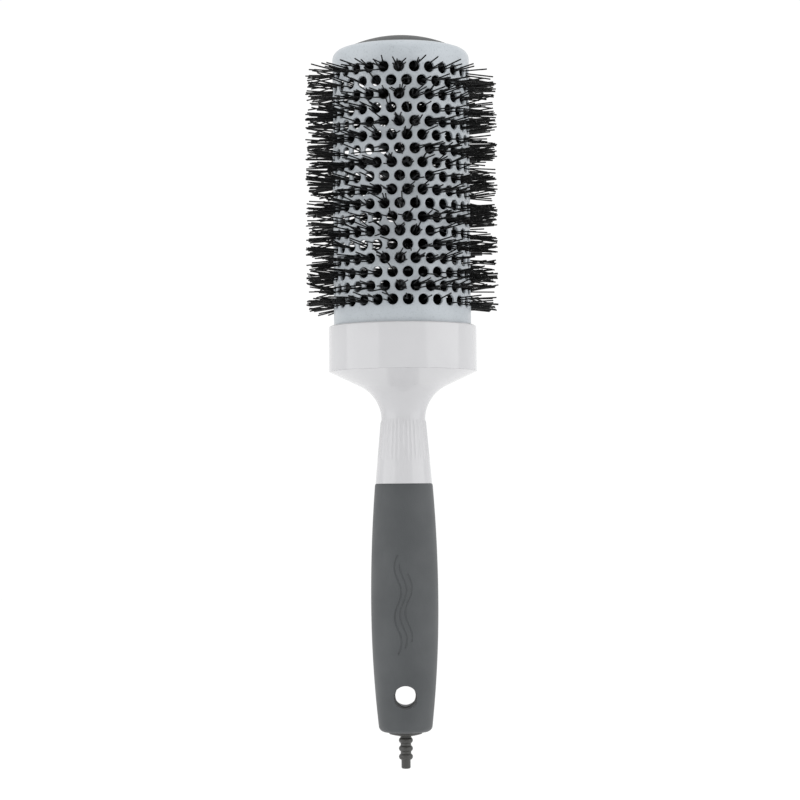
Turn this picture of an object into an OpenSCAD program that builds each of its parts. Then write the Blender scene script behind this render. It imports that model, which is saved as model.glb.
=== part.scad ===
// Large thermal round brush: a perforated ceramic-coated barrel on a twisted-wire bristle
// stem, a gloss collar and neck, a soft grip with a hang hole, and a sectioning pick that
// slides out of the end of the handle.
// Millimetres. +Z runs along the brush towards the barrel, and the origin is the centre of
// the hang hole, whose axis is Y.

/* [Barrel] */
// Outside diameter of the barrel
barrel_d = 45; // [38:0.5:50]
// Thickness of the barrel's wall
barrel_wall = 0.8; // [0.6:0.1:1.2]
// Radius of the barrel's rolled-in top edge
shoulder_r = 3; // [2:0.5:4]
// Height of the barrel's bottom edge above the hang hole
barrel_base_z = 109; // [108:0.5:111]
// Height of the barrel's flat top above the hang hole
barrel_top_z = 211.6; // [210:0.1:214]
// Diameter of the opening that the end plug closes
barrel_mouth_d = 34.4; // [30:0.2:36]

/* [Holes and bristles] */
// Rows of holes along the barrel
hole_rows = 18; // [12:1:18]
// Holes around each row (an even number)
holes_round = 28; // [24:2:28]
// Diameter of one hole
hole_d = 3.55; // [2.5:0.05:3.6]
// Distance between rows
row_pitch = 4.4; // [4.3:0.05:4.45]
// Height of the top row
row_top_z = 202.7; // [202:0.1:203]
// Angle by which the top row's first hole is turned from the front
hole_phase = -1.6; // [-6:0.1:6]
// Diameter across the bristle tips
bristle_span_d = 64; // [56:1:70]
// Diameter of one bristle bundle at its tip
bundle_tip_d = 0.9; // [0.6:0.1:1.2]
// Diameter of one bristle bundle where the wires grip it
bundle_root_d = 0.34; // [0.2:0.02:0.36]

/* [Wire stem] */
// Diameter of each of the two stem wires
wire_d = 1.4; // [1:0.1:1.5]
// Gap between the two wires at the axis
wire_gap = 0.2; // [0.1:0.05:0.3]
// Height gained by one whole turn of the twist
wire_lead = 18; // [12:1:24]

/* [Collar and neck] */
// Outside diameter of the collar
collar_d = 48.5; // [47:0.1:52]
// Height of the collar's bottom edge
collar_base_z = 105.85; // [105.5:0.05:106.5]
// Height of the collar's top edge
collar_top_z = 120.8; // [119:0.1:122]
// Radius of the collar's top corner
collar_round = 0.7; // [0.3:0.1:1]
// Thinnest radius of the neck, where the flare begins
neck_r = 7.2; // [6.5:0.1:8]
// Radius of the curve from the neck into the flare
flare_bend_r = 12.3; // [11.5:0.1:12.8]
// Radius of the neck where it meets the grip
neck_foot_r = 9.25; // [8.6:0.05:9.3]

/* [Grip] */
// Largest radius of the grip
grip_belly_r = 11; // [10.5:0.1:12]
// Height of the grip's widest place
grip_belly_z = 30.5; // [25:0.5:36]
// Height of the grip's top edge
grip_top_z = 69.1; // [66:0.1:72]
// Radius of the grip's top edge
grip_top_r = 9.42; // [9.4:0.02:10]
// Depth of the grip's bottom face below the hang hole
grip_base_z = -11.7; // [-12:0.1:-11]
// Radius of the grip just above its rounded bottom edge
grip_base_r = 8.8; // [8.5:0.1:9.2]
// Radius of the grip's rounded bottom edge
grip_round = 2; // [0.5:0.1:2.5]
// Radius of the stiff core inside the grip
core_r = 6.8; // [6.6:0.1:7.2]
// Diameter of the hang hole
hang_hole_d = 7.7; // [6:0.1:8]

/* [Sectioning pick] */
// Diameter of the pick's domed flange
pick_flange_d = 10.8; // [10.6:0.1:12]
// Diameter of the rings around the pick's knob
pick_ring_d = 4.6; // [4.2:0.05:5]
// Diameter of the pick's knob between its rings
pick_stem_d = 3.45; // [3.2:0.05:4]
// Number of rings on the knob
pick_rings = 3; // [1:1:3]
// Width of the flat blade with the eye
pick_blade_w = 9.8; // [9.6:0.1:9.8]
// Thickness of the flat blade
pick_blade_t = 2.2; // [1.8:0.1:2.4]
// Height of the needle's point above the hang hole
pick_point_z = 62; // [50:1:64]

/* [Hidden] */
$fn = 64;

barrel_r = barrel_d / 2;
bore_r = barrel_r - barrel_wall;
mouth_r = barrel_mouth_d / 2;
hole_step = 360 / holes_round;

// Stem: the wires' circle and ends
wire_orbit = (wire_d + wire_gap) / 2;
stem_r = wire_orbit + wire_d / 2;
stem_base_z = 92;
stem_top_z = 210.5;
wire_slices_per_turn = 16;
wire_sides = 10;
fit_gap = 0.05;

// Ferrules crimped on the stem's two ends
ferrule_wall = 0.7;
ferrule_r = stem_r + fit_gap + ferrule_wall;
top_ferrule_z = 205.2;
base_ferrule_top_z = 112;

// End plug
plug_rim_r = 18.8;
plug_rim_h = 0.15;
plug_rise = 4.5;
plug_wall = 1.5;
plug_skirt_z = 206.4;
plug_boss_r = 3.6;
plug_boss_z = 204.8;
plug_ribs = 6;
plug_rib_t = 0.9;
plug_weld = 0.2;

// Base hub inside the foot of the barrel
hub_r = bore_r - fit_gap;
hub_floor = 2;
hub_wall = 1.6;
hub_top_z = 119;
hub_boss_r = 4.6;
hub_boss_z = 117;

// Neck: the flare's curve turns by this angle away from the axis
flare_turn = 65;
neck_z = 90;
crease_r = 7.5;
crease_z = 89;
flare_rim_r = collar_d / 2 - 0.05;
collar_seat_r = 22.3;

// Spigot of the core that is bonded into the foot of the neck
spigot_r = 5.2;
spigot_top_z = 84;

// Grip
core_base_z = grip_base_z + 1.2;
hang_r = hang_hole_d / 2;
lining_t = 0.8;

// Pick pocket and needle bore
pocket_w = pick_blade_w + 0.4;
pocket_t = pick_blade_t + 0.4;
pocket_top_z = 8.4;
eye_r = hang_r + 0.15;
eye_half_h = 4.3;
blade_top_z = 7.9;
needle_r = 1.2;
needle_point_r = 0.3;
needle_bore_r = 1.5;
flange_h = 1.5;
flange_edge = 0.6;
knob_neck_z = -23.7;
knob_tip_r = 1.5;
ring_first_z = -14.5;
ring_pitch = 2.65;
ring_half_h = 0.95;

row_names = [for (i = [1 : 18]) str("bristle_row_", i < 10 ? "0" : "", i)];

function row_z(row) = row_top_z - row * row_pitch;
function row_turn(row) = hole_phase + (row % 2) * hole_step / 2;

// Points of an arc about centre c, from angle a to angle b
function arc(c, r, a, b, steps = 8) =
    [for (i = [0 : steps]) let (t = a + (b - a) * i / steps) [c[0] + r * cos(t), c[1] + r * sin(t)]];

// The grip's radius at height z: two shallow curves that meet at its widest place
function grip_radius(z) =
    z > grip_belly_z
        ? grip_belly_r - (grip_belly_r - grip_top_r) * pow((z - grip_belly_z) / (grip_top_z - grip_belly_z), 2)
        : grip_belly_r - (grip_belly_r - grip_base_r)
            * pow((grip_belly_z - z) / (grip_belly_z - grip_base_z - grip_round), 2);

// A flat-bottomed dome: base radius r, height h
module dome(r, h) {
    sphere_r = (r * r + h * h) / (2 * h);
    rotate_extrude() polygon(concat(
        [[0, 0]],
        arc([0, h - sphere_r], sphere_r, acos(r / sphere_r), 90)));
}

module tube(r_out, r_in, z0, z1) {
    translate([0, 0, z0]) difference() {
        cylinder(r = r_out, h = z1 - z0);
        translate([0, 0, -1]) cylinder(r = r_in, h = z1 - z0 + 2);
    }
}

module barrel() {
    inner_round = shoulder_r - barrel_wall;
    color("lightsteelblue") difference() {
        rotate_extrude() polygon(concat(
            [[bore_r, barrel_base_z], [barrel_r, barrel_base_z]],
            arc([barrel_r - shoulder_r, barrel_top_z - shoulder_r], shoulder_r, 0, 90),
            [[mouth_r, barrel_top_z], [mouth_r, barrel_top_z - barrel_wall]],
            arc([bore_r - inner_round, barrel_top_z - barrel_wall - inner_round], inner_round, 90, 0)));
        for (row = [0 : hole_rows - 1], k = [0 : holes_round - 1])
            translate([0, 0, row_z(row)]) rotate([90, 0, row_turn(row) + k * hole_step])
                translate([0, 0, bore_r - 1]) cylinder(d = hole_d, h = barrel_wall + 2);
    }
}

module end_plug() {
    color("dimgray") {
        difference() {
            union() {
                translate([0, 0, barrel_top_z]) {
                    cylinder(r = plug_rim_r, h = plug_rim_h);
                    translate([0, 0, plug_rim_h]) dome(plug_rim_r, plug_rise);
                }
                translate([0, 0, plug_skirt_z])
                    cylinder(r = mouth_r - fit_gap, h = barrel_top_z - plug_skirt_z);
            }
            translate([0, 0, plug_skirt_z - 1])
                cylinder(r = mouth_r - plug_wall, h = barrel_top_z - plug_skirt_z + 1);
        }
        difference() {
            union() {
                translate([0, 0, plug_boss_z])
                    cylinder(r = plug_boss_r, h = barrel_top_z - plug_boss_z + plug_weld);
                for (k = [0 : plug_ribs - 1])
                    rotate([0, 0, k * 360 / plug_ribs])
                        translate([0, -plug_rib_t / 2, plug_skirt_z + plug_weld])
                            cube([mouth_r - plug_wall / 2, plug_rib_t, barrel_top_z - plug_skirt_z]);
            }
            translate([0, 0, plug_boss_z - 1])
                cylinder(r = ferrule_r + fit_gap, h = stem_top_z - plug_boss_z + 1.5);
        }
    }
}

// One of the two steel wires, a helix about the axis
module stem_wire(start) {
    turns = (stem_top_z - stem_base_z) / wire_lead;
    color("silver") translate([0, 0, stem_base_z])
        linear_extrude(height = stem_top_z - stem_base_z, twist = 360 * turns,
                       slices = ceil(turns * wire_slices_per_turn), $fn = wire_sides)
            rotate(start) translate([wire_orbit, 0]) circle(d = wire_d);
}

module stem_wire_a() { stem_wire(0); }
module stem_wire_b() { stem_wire(180); }

module top_ferrule() {
    color("silver") tube(ferrule_r, stem_r + fit_gap, top_ferrule_z, stem_top_z);
}

module base_ferrule() {
    color("silver") tube(ferrule_r, stem_r + fit_gap, stem_base_z, base_ferrule_top_z);
}

module base_hub() {
    color("darkslategray") difference() {
        translate([0, 0, barrel_base_z]) cylinder(r = hub_r, h = hub_top_z - barrel_base_z);
        difference() {
            translate([0, 0, barrel_base_z + hub_floor]) cylinder(r = hub_r - hub_wall, h = hub_top_z);
            cylinder(r = hub_boss_r, h = hub_boss_z);
        }
        cylinder(r = ferrule_r + fit_gap, h = hub_top_z + 1);
    }
}

// One row of bristles: a tapered bundle through every hole, gripped by the wires
module bristle_row(row) {
    root_r = stem_r + 0.2;
    color("black") for (k = [0 : holes_round - 1])
        translate([0, 0, row_z(row)]) rotate([90, 0, row_turn(row) + k * hole_step])
            translate([0, 0, root_r])
                cylinder(d1 = bundle_root_d, d2 = bundle_tip_d, h = bristle_span_d / 2 - root_r, $fn = 8);
}

module collar_ring() {
    outer_r = collar_d / 2;
    color("white") rotate_extrude() polygon(concat(
        [[collar_seat_r + fit_gap, collar_base_z], [outer_r, collar_base_z]],
        arc([outer_r - collar_round, collar_top_z - collar_round], collar_round, 0, 90, 4),
        [[barrel_r + fit_gap, collar_top_z], [barrel_r + fit_gap, barrel_base_z],
         [collar_seat_r + fit_gap, barrel_base_z]]));
}

// The gloss neck: socket for the core below, bore for the stem above, seat for the collar
module neck_flare() {
    color("whitesmoke") difference() {
        rotate_extrude() polygon(concat(
            [[0, grip_top_z], [neck_foot_r, grip_top_z], [crease_r, crease_z]],
            arc([neck_r + flare_bend_r, neck_z], flare_bend_r, 180, 180 - flare_turn),
            [[flare_rim_r, collar_base_z], [collar_seat_r, collar_base_z],
             [collar_seat_r, barrel_base_z], [0, barrel_base_z]]));
        translate([0, 0, stem_base_z - fit_gap]) cylinder(r = ferrule_r + fit_gap, h = 30);
        translate([0, 0, grip_top_z - 1])
            cylinder(r = spigot_r + fit_gap, h = spigot_top_z - grip_top_z + 1.3);
    }
}

// The stiff core inside the grip, with its spigot at the top
module handle_core() {
    color("gainsboro") difference() {
        union() {
            translate([0, 0, core_base_z]) cylinder(r = core_r, h = grip_top_z - core_base_z);
            translate([0, 0, grip_top_z - 1]) cylinder(r = spigot_r, h = spigot_top_z - grip_top_z + 1);
        }
        cross_cylinder(hang_r + lining_t + fit_gap, 3 * core_r);
        pick_pocket();
    }
}

// A cylinder along Y, centred on the hang hole
module cross_cylinder(r, h) {
    rotate([90, 0, 0]) cylinder(r = r, h = h, center = true);
}

// The flat pocket for the pick's blade and the long bore for its needle
module pick_pocket() {
    translate([-pocket_w / 2, -pocket_t / 2, grip_base_z - 1])
        cube([pocket_w, pocket_t, pocket_top_z - grip_base_z + 1]);
    cylinder(r = needle_bore_r, h = pick_point_z + 1.5);
}

module grip() {
    steps = 20;
    side_z = grip_base_z + grip_round;
    top_round = 0.5;
    color("slategray") difference() {
        union() {
            rotate_extrude() polygon(concat(
                [[0, grip_base_z]],
                arc([grip_base_r - grip_round, side_z], grip_round, -90, 0),
                [for (i = [1 : steps]) let (z = side_z + (grip_top_z - top_round - side_z) * i / steps)
                    [grip_radius(z), z]],
                [[grip_top_r - top_round, grip_top_z], [core_r, grip_top_z],
                 [core_r, core_base_z], [0, core_base_z]]));
            cross_cylinder(hang_r + lining_t, 2 * core_r + 1);
        }
        cross_cylinder(hang_r, 3 * grip_belly_r);
        pick_pocket();
    }
}

// One rounded ring of the knob, solid to the axis
module bead() {
    rise = (pick_ring_d - pick_stem_d) / 2;
    bead_r = (ring_half_h * ring_half_h + rise * rise) / (2 * rise);
    turn = asin(ring_half_h / bead_r);
    rotate_extrude() polygon(concat(
        [[0, -ring_half_h]],
        arc([pick_ring_d / 2 - bead_r, 0], bead_r, -turn, turn),
        [[0, ring_half_h]]));
}

// The pick's ribbed knob, with the domed flange that closes the end of the grip
module pick_knob() {
    color("gray") {
        translate([0, 0, grip_base_z - fit_gap]) mirror([0, 0, 1]) {
            cylinder(d = pick_flange_d, h = flange_edge);
            translate([0, 0, flange_edge]) dome(pick_flange_d / 2, flange_h - flange_edge);
        }
        translate([0, 0, knob_neck_z + 3.4])
            cylinder(d = pick_stem_d, h = grip_base_z - knob_neck_z - 3.6);
        translate([0, 0, knob_neck_z]) cylinder(r = knob_tip_r, h = 3.5);
        for (i = [0 : pick_rings - 1])
            translate([0, 0, ring_first_z - i * ring_pitch]) bead();
    }
}

// The pick's flat blade, with the eye that keeps the hang hole clear, and its needle
module pick_blade() {
    color("lightgray") {
        difference() {
            translate([-pick_blade_w / 2, -pick_blade_t / 2, grip_base_z - fit_gap])
                cube([pick_blade_w, pick_blade_t, blade_top_z - grip_base_z + fit_gap]);
            for (z = [-eye_half_h + eye_r, eye_half_h - eye_r])
                translate([0, 0, z]) rotate([90, 0, 0]) cylinder(r = eye_r, h = 6, center = true);
            translate([-eye_r, -3, -eye_half_h + eye_r]) cube([2 * eye_r, 6, 2 * (eye_half_h - eye_r)]);
        }
        translate([0, 0, blade_top_z])
            cylinder(r1 = needle_r, r2 = needle_point_r, h = pick_point_z - blade_top_z);
    }
}

barrel();
end_plug();
stem_wire_a();
stem_wire_b();
top_ferrule();
base_ferrule();
base_hub();
collar_ring();
neck_flare();
handle_core();
grip();
pick_knob();
pick_blade();
for (i = [0 : hole_rows - 1])
    bristle_row(i);
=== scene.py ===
"""The looks of a large thermal round brush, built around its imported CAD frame.

Lengths in the classes are millimetres and become metres where a mesh is made. +Z runs along
the brush towards the barrel, the hang hole's centre is the origin, and the front faces -Y.
"""

import logging
import math
import random
from collections.abc import Callable, Iterator, Sequence
from contextlib import contextmanager
from dataclasses import dataclass
from enum import Enum

import bmesh
import bpy
import numpy as np
from mathutils import Matrix, Vector


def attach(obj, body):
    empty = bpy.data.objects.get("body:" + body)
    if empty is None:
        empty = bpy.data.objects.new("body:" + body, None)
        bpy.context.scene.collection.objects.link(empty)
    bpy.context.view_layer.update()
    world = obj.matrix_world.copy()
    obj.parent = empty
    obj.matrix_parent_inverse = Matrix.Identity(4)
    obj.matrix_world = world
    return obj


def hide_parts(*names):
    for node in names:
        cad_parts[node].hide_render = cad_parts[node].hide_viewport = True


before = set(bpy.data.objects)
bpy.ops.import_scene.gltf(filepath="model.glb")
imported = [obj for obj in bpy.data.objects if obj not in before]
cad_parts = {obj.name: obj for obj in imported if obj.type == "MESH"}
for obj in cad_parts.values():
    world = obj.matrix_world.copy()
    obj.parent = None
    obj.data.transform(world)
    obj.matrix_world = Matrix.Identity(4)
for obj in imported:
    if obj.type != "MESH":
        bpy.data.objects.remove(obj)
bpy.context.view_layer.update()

MM = 0.001
Point = tuple[float, float]
Shape = Callable[[Vector], Vector]
MOTTLE_BAND = (0.38, 0.62)  # a noise's values that spread from the first colour to the second
GLOSS_BAND = (0.3, 0.7)  # a noise's values that spread from the lowest roughness to the highest
SPOT_SHARE = 0.6  # the width of a noise's spots, as a share of its cell
log = logging.getLogger("round_brush")


class Body(Enum):
    """The CAD bodies that a piece can ride on."""

    HANDLE = "handle"
    PICK = "pick"


class Slot(Enum):
    """The record's material slots."""

    CERAMIC = "ceramic_barrel"
    PLUG = "grey_plug"
    STEEL = "steel_wire"
    HUB = "black_hub"
    GLOSS = "white_gloss"
    GRIP = "soft_grip"
    PICK = "grey_pick"
    NYLON = "black_nylon"


def linear(hex_colour: str) -> tuple[float, float, float, float]:
    """Turns an sRGB hex colour into the linear colour that shaders take.

    Args:
        hex_colour: Six hex digits after a hash.

    Returns:
        Red, green, blue and an alpha of one.
    """
    parts = [int(hex_colour[i : i + 2], 16) / 255 for i in (1, 3, 5)]
    r, g, b = (c / 12.92 if c <= 0.04045 else ((c + 0.055) / 1.055) ** 2.4 for c in parts)
    return (r, g, b, 1.0)


def add_node(
    tree: bpy.types.NodeTree,
    kind: str,
    links: dict[str | int, bpy.types.NodeSocket] | None = None,
    values: dict[str | int, object] | None = None,
    **settings: object,
) -> bpy.types.Node:
    """Adds one shader node with its settings, input values and links.

    Args:
        tree: The node tree that gets the node.
        kind: The node's Blender type.
        links: Input name or number to the output that feeds it.
        values: Input name or number to its constant.
        **settings: Properties of the node itself.

    Returns:
        The new node.
    """
    node = tree.nodes.new(kind)
    for name, setting in settings.items():
        setattr(node, name, setting)
    for socket, value in (values or {}).items():
        node.inputs[socket].default_value = value
    for socket, source in (links or {}).items():
        tree.links.new(source, node.inputs[socket])
    return node


@dataclass(frozen=True)
class Finish:
    """What every finish shares: its colours, gloss and the sizes of its pattern in mm."""

    name: str
    colour: str
    mottled: str
    roughness: float
    rough_spread: float
    patch_mm: float
    grain_mm: float
    relief_mm: float
    metallic: float = 0.0
    coat: float = 0.0
    coat_roughness: float = 0.1
    ior: float = 1.5
    sheen: float = 0.0

    def build(self) -> bpy.types.Material:
        """Makes the material: mottled colour, uneven gloss and fine relief.

        Returns:
            The new material.
        """
        material = bpy.data.materials.new(self.name)
        material.use_nodes = True
        tree = material.node_tree
        shader = tree.nodes["Principled BSDF"]
        shader.inputs["Metallic"].default_value = self.metallic
        shader.inputs["Coat Weight"].default_value = self.coat
        shader.inputs["Coat Roughness"].default_value = self.coat_roughness
        shader.inputs["IOR"].default_value = self.ior
        shader.inputs["Sheen Weight"].default_value = self.sheen
        place = add_node(tree, "ShaderNodeTexCoord").outputs["Object"]
        patches = self.noise(tree, place, self.patch_mm, detail=4.0)
        colour = add_node(
            tree, "ShaderNodeMix", {"Factor": self.spread(tree, patches, *MOTTLE_BAND)},
            {"A": linear(self.colour), "B": linear(self.mottled)}, data_type="RGBA")
        tree.links.new(self.tint(tree, place, colour.outputs["Result"]), shader.inputs["Base Color"])
        gloss = add_node(
            tree, "ShaderNodeMapRange", {"Value": patches},
            {"From Min": GLOSS_BAND[0], "From Max": GLOSS_BAND[1],
             "To Min": self.roughness - self.rough_spread,
             "To Max": self.roughness + self.rough_spread})
        tree.links.new(self.wear(tree, place, gloss.outputs["Result"]), shader.inputs["Roughness"])
        bump = add_node(
            tree, "ShaderNodeBump", {"Height": self.relief(tree, place)},
            {"Strength": 1.0, "Distance": self.relief_mm * MM})
        tree.links.new(bump.outputs["Normal"], shader.inputs["Normal"])
        return material

    def noise(
        self, tree: bpy.types.NodeTree, place: bpy.types.NodeSocket, size_mm: float, detail: float = 2.0
    ) -> bpy.types.NodeSocket:
        """Adds a noise.

        Args:
            tree: The material's node tree.
            place: The coordinates that the pattern reads.
            size_mm: The width of one spot.
            detail: Octaves of finer noise on top.

        Returns:
            The noise's value.
        """
        return add_node(
            tree, "ShaderNodeTexNoise", {"Vector": place},
            {"Scale": SPOT_SHARE / (size_mm * MM), "Detail": detail}).outputs["Fac"]

    def spread(
        self, tree: bpy.types.NodeTree, value: bpy.types.NodeSocket, low: float, high: float
    ) -> bpy.types.NodeSocket:
        """Stretches a band of values over 0 to 1.

        Args:
            tree: The material's node tree.
            value: The value to stretch.
            low: What becomes 0.
            high: What becomes 1.

        Returns:
            The stretched value, clamped to 0 and 1.
        """
        return add_node(
            tree, "ShaderNodeMapRange", {"Value": value}, {"From Min": low, "From Max": high}
        ).outputs["Result"]

    def tint(
        self, tree: bpy.types.NodeTree, place: bpy.types.NodeSocket, colour: bpy.types.NodeSocket
    ) -> bpy.types.NodeSocket:
        """Returns the colour as it is; a finish with a second pattern overrides this."""
        return colour

    def wear(
        self, tree: bpy.types.NodeTree, place: bpy.types.NodeSocket, gloss: bpy.types.NodeSocket
    ) -> bpy.types.NodeSocket:
        """Returns the roughness as it is; a finish with wear marks overrides this."""
        return gloss

    def relief(self, tree: bpy.types.NodeTree, place: bpy.types.NodeSocket) -> bpy.types.NodeSocket:
        """Returns the height of the surface's fine relief."""
        return self.noise(tree, place, self.grain_mm)


@dataclass(frozen=True)
class SpeckledCeramic(Finish):
    """Sprayed ceramic on aluminium: a satin skin with fine darker grains and an orange peel."""

    speckle: str = "#8A9095"
    speckle_mm: float = 0.3
    speckle_band: tuple[float, float] = (0.56, 0.8)

    def tint(
        self, tree: bpy.types.NodeTree, place: bpy.types.NodeSocket, colour: bpy.types.NodeSocket
    ) -> bpy.types.NodeSocket:
        """Scatters the mineral grains over the colour.

        Args:
            tree: The material's node tree.
            place: The coordinates that the pattern reads.
            colour: The colour under the grains.

        Returns:
            The speckled colour.
        """
        grains = self.noise(tree, place, self.speckle_mm, detail=3.0)
        return add_node(
            tree, "ShaderNodeMix",
            {"Factor": self.spread(tree, grains, *self.speckle_band), "A": colour},
            {"B": linear(self.speckle)}, data_type="RGBA").outputs["Result"]


@dataclass(frozen=True)
class GlossMoulding(Finish):
    """Injection-moulded ABS from a polished tool: glossy, with faint handling marks."""

    scratch_mm: float = 0.5
    scuff_stretch: tuple[float, float, float] = (0.06, 0.06, 1.0)
    scuff_band: tuple[float, float] = (0.6, 0.75)
    scuff_roughness: float = 0.05

    def wear(
        self, tree: bpy.types.NodeTree, place: bpy.types.NodeSocket, gloss: bpy.types.NodeSocket
    ) -> bpy.types.NodeSocket:
        """Adds hairline scuffs that run round the part, as it is turned in the hand.

        Args:
            tree: The material's node tree.
            place: The coordinates that the pattern reads.
            gloss: The roughness without the scuffs.

        Returns:
            The roughness with the scuffs.
        """
        stretched = add_node(
            tree, "ShaderNodeMapping", {"Vector": place}, {"Scale": self.scuff_stretch})
        scuffs = self.noise(tree, stretched.outputs["Vector"], self.scratch_mm, detail=3.0)
        marks = add_node(
            tree, "ShaderNodeMapRange", {"Value": scuffs},
            {"From Min": self.scuff_band[0], "From Max": self.scuff_band[1],
             "To Min": 0.0, "To Max": self.scuff_roughness})
        return add_node(
            tree, "ShaderNodeMath", {0: gloss, 1: marks.outputs["Result"]}, operation="ADD"
        ).outputs["Value"]


@dataclass(frozen=True)
class SparkedRubber(Finish):
    """Overmoulded thermoplastic rubber from a spark-eroded tool: matt, finely pebbled."""

    def relief(self, tree: bpy.types.NodeTree, place: bpy.types.NodeSocket) -> bpy.types.NodeSocket:
        """Makes pebbles from a cell pattern, roughened by a finer noise.

        Args:
            tree: The material's node tree.
            place: The coordinates that the pattern reads.

        Returns:
            The pebbles' height.
        """
        cells = add_node(
            tree, "ShaderNodeTexVoronoi", {"Vector": place}, {"Scale": 1 / (self.grain_mm * MM)},
            feature="SMOOTH_F1")
        fine = self.noise(tree, place, self.grain_mm / 2, detail=3.0)
        return add_node(
            tree, "ShaderNodeMath", {0: cells.outputs["Distance"], 1: fine}, operation="ADD"
        ).outputs["Value"]


@dataclass(frozen=True)
class DrawnStrand(Finish):
    """A drawn strand: fine lines from a pattern stretched outward, the way a bristle runs."""

    stretch: tuple[float, float, float] = (0.3, 0.3, 1.0)

    def relief(self, tree: bpy.types.NodeTree, place: bpy.types.NodeSocket) -> bpy.types.NodeSocket:
        """Draws the pattern out across the brush.

        Args:
            tree: The material's node tree.
            place: The coordinates that the pattern reads.

        Returns:
            The lines' height.
        """
        lines = add_node(tree, "ShaderNodeMapping", {"Vector": place}, {"Scale": self.stretch})
        return self.noise(tree, lines.outputs["Vector"], self.grain_mm, detail=3.0)


# Ceramic spray over aluminium: pale cool grey, satin, with mineral grains near 0.1 mm that are
# drawn at 0.3 mm so that they show.
CERAMIC_SPRAY = SpeckledCeramic(
    "ceramic_sprayed_aluminium", "#A8AEB3", "#A1A7AC", 0.36, 0.05, 14.0, 0.7, 0.012,
    coat=0.15, coat_roughness=0.25)
# ABS moulded in a polished tool: neutral white, mirror gloss softened by handling.
GLOSS_ABS = GlossMoulding(
    "polished_moulded_abs", "#B4B4B6", "#B0B0B2", 0.13, 0.02, 18.0, 6.0, 0.01, coat=0.2,
    coat_roughness=0.06)
# Thermoplastic rubber moulded over the stiff core: slate grey, matt, with a pebble near 0.15 mm that is
# drawn at 0.3 mm so that it shows.
SOFT_RUBBER = SparkedRubber(
    "spark_textured_tpr_overmould", "#3C3F41", "#373A3C", 0.62, 0.05, 9.0, 0.3, 0.02, sheen=0.08)
# Satin polypropylene for the end plug: mid grey with a faint flow mottle.
PLUG_PP = Finish(
    "satin_moulded_polypropylene", "#3C3E3E", "#373939", 0.55, 0.05, 6.0, 0.4, 0.008,
    ior=1.38)
# Acetal for the sectioning pick: slightly warm grey, low gloss.
PICK_ACETAL = Finish(
    "satin_moulded_acetal", "#333331", "#2F2F2D", 0.46, 0.05, 4.0, 0.3, 0.008)
# Glass-filled nylon for the hub: black and matt.
HUB_NYLON = Finish(
    "moulded_glass_filled_nylon", "#161617", "#1C1C1D", 0.5, 0.06, 5.0, 0.35, 0.015)
# Nylon monofilament: black, drawn through a die, so it glints along its length.
FILAMENT_NYLON = DrawnStrand(
    "drawn_nylon_monofilament", "#030303", "#060606", 0.5, 0.06, 3.0, 0.2, 0.01, ior=1.3)
# Galvanised steel wire: dull zinc grey with spangle, drawn and then twisted.
STEM_STEEL = DrawnStrand(
    "galvanised_drawn_steel", "#8C8E8F", "#77797A", 0.38, 0.08, 1.2, 0.3, 0.01, metallic=1.0)


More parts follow.
